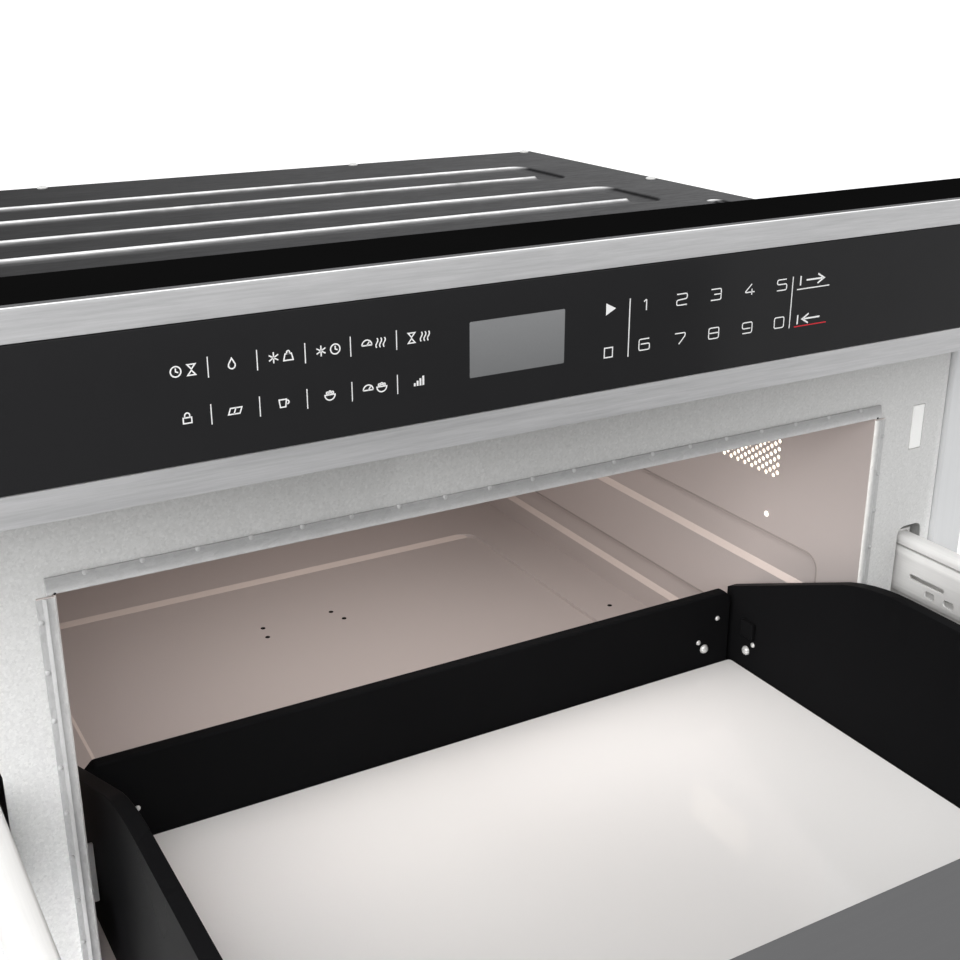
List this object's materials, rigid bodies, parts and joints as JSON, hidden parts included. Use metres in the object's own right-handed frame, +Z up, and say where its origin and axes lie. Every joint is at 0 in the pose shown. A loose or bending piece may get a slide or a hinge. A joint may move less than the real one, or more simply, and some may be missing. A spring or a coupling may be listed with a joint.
{
  "type": "microwave drawer",
  "caption": "Built-in microwave drawer, open: galvanised cabinet, enamelled cavity, stainless control fascia with black touch glass, powered drawer with black basket and white floor on slides.",
  "frame": {"origin": "middle of the base pan's underside, where the cabinet stands", "axes": "+X to the right seen from the front, +Y towards the rear, the way the drawer closes, +Z up"},
  "size_m": [0.606, 0.841, 0.4076],
  "materials": {
    "galvanised_steel": "galvanised sheet, fine spangle",
    "dull_galvanised_steel": "dull galvanised sheet",
    "stainless_steel": "stainless, fine horizontal brushing",
    "cavity_enamel": "semi-gloss enamel, warm grey",
    "black_enamel": "semi-gloss black",
    "black_plastic": "moulded, matt",
    "black_glass": "gloss, printed black behind",
    "display": "grey liquid crystal",
    "white_ceramic": "opaque white glass ceramic, gloss",
    "clear_glass": "clear lamp glass",
    "zinc_plated_steel": "bright zinc plate",
    "pale_nylon": "moulded, natural",
    "core_and_windings": "varnished steel core with copper windings",
    "circuit_board": "green laminate"
  },
  "bodies": {
    "cabinet": {"air_duct": "black_plastic", "base_pan": "galvanised_steel", "cavity_liner": "cavity_enamel", "control_board": "circuit_board", "control_carrier": "black_plastic", "control_glass": "black_glass", "cord_gland": "black_plastic", "display_module": "display", "drive_bracket": "zinc_plated_steel", "drive_motor": "zinc_plated_steel", "fan_frame": "black_plastic", "fascia_cap": "black_plastic", "fascia_shell": "stainless_steel", "front_plate": "galvanised_steel", "hv_capacitor": "zinc_plated_steel", "hv_transformer": "core_and_windings", "interlock_housing_left": "pale_nylon", "interlock_housing_right": "pale_nylon", "lamp_bulb": "clear_glass", "lamp_housing": "galvanised_steel", "lamp_screen": "cavity_enamel", "magnetron": "zinc_plated_steel", "rear_panel": "galvanised_steel", "side_flange_left": "galvanised_steel", "side_flange_right": "galvanised_steel", "side_panel_left": "galvanised_steel", "side_panel_right": "galvanised_steel", "slide_outer_left": "zinc_plated_steel", "slide_outer_right": "zinc_plated_steel", "stirrer_box": "galvanised_steel", "stirrer_cover": "pale_nylon", "stirrer_motor": "zinc_plated_steel", "top_cover": "dull_galvanised_steel", "waveguide": "galvanised_steel"},
    "drawer": {"door_skin": "stainless_steel", "door_glass": "black_glass", "door_frame": "black_plastic", "door_liner": "black_plastic", "choke_cover": "black_plastic", "basket_rear": "black_enamel", "basket_pan": "black_enamel", "ceramic_tray": "white_ceramic", "drive_rack": "pale_nylon", "slide_inner_left": "zinc_plated_steel", "slide_inner_right": "zinc_plated_steel", "basket_side_left": "black_enamel", "basket_side_right": "black_enamel", "corner_bracket_left": "black_enamel", "corner_bracket_right": "black_enamel", "latch_striker_left": "pale_nylon", "latch_striker_right": "pale_nylon"},
    "slide_middle_left": {"slide_middle_left": "zinc_plated_steel"},
    "slide_middle_right": {"slide_middle_right": "zinc_plated_steel"},
    "pinion": {"drive_pinion": "pale_nylon"},
    "fan": {"fan_rotor": "black_plastic"},
    "stirrer": {"stirrer_blade": "zinc_plated_steel"},
    "plunger_left": {"interlock_plunger_left": "pale_nylon"},
    "plunger_right": {"interlock_plunger_right": "pale_nylon"}
  },
  "joints": [
    {"name": "drawer_slide", "type": "slide", "parent": "cabinet", "child": "drawer", "axis": [0, 1, 0], "range_m": [0, 0.332]},
    {"name": "slide_middle_left_slide", "type": "slide", "parent": "cabinet", "child": "slide_middle_left", "axis": [0, 1, 0], "range_m": [0, 0.166]},
    {"name": "slide_middle_right_slide", "type": "slide", "parent": "cabinet", "child": "slide_middle_right", "axis": [0, 1, 0], "range_m": [0, 0.166]},
    {"name": "pinion_turn", "type": "hinge", "parent": "cabinet", "child": "pinion", "pos_m": [0, -0.1815, 0.035], "axis": [-1, 0, 0], "range_deg": [-1, 1270]},
    {"name": "fan_turn", "type": "hinge", "parent": "cabinet", "child": "fan", "pos_m": [0.1725, 0.2095, 0.324], "axis": [0, 1, 0], "continuous": true},
    {"name": "stirrer_turn", "type": "hinge", "parent": "cabinet", "child": "stirrer", "pos_m": [0, -0.0125, 0.29], "axis": [0, 0, 1], "continuous": true},
    {"name": "plunger_left_slide", "type": "slide", "parent": "cabinet", "child": "plunger_left", "axis": [0, 1, 0], "range_m": [0, 0.006], "stiffness_N_per_m": 150, "springref_m": -0.003},
    {"name": "plunger_right_slide", "type": "slide", "parent": "cabinet", "child": "plunger_right", "axis": [0, 1, 0], "range_m": [0, 0.006], "stiffness_N_per_m": 150, "springref_m": -0.003}
  ],
  "couplings": [
    {"joint": "slide_middle_left_slide", "follows": "drawer_slide", "ratio": 0.5},
    {"joint": "slide_middle_right_slide", "follows": "drawer_slide", "ratio": 0.5},
    {"joint": "pinion_turn", "follows": "drawer_slide", "rad_per_m": 66.667}
  ]
}
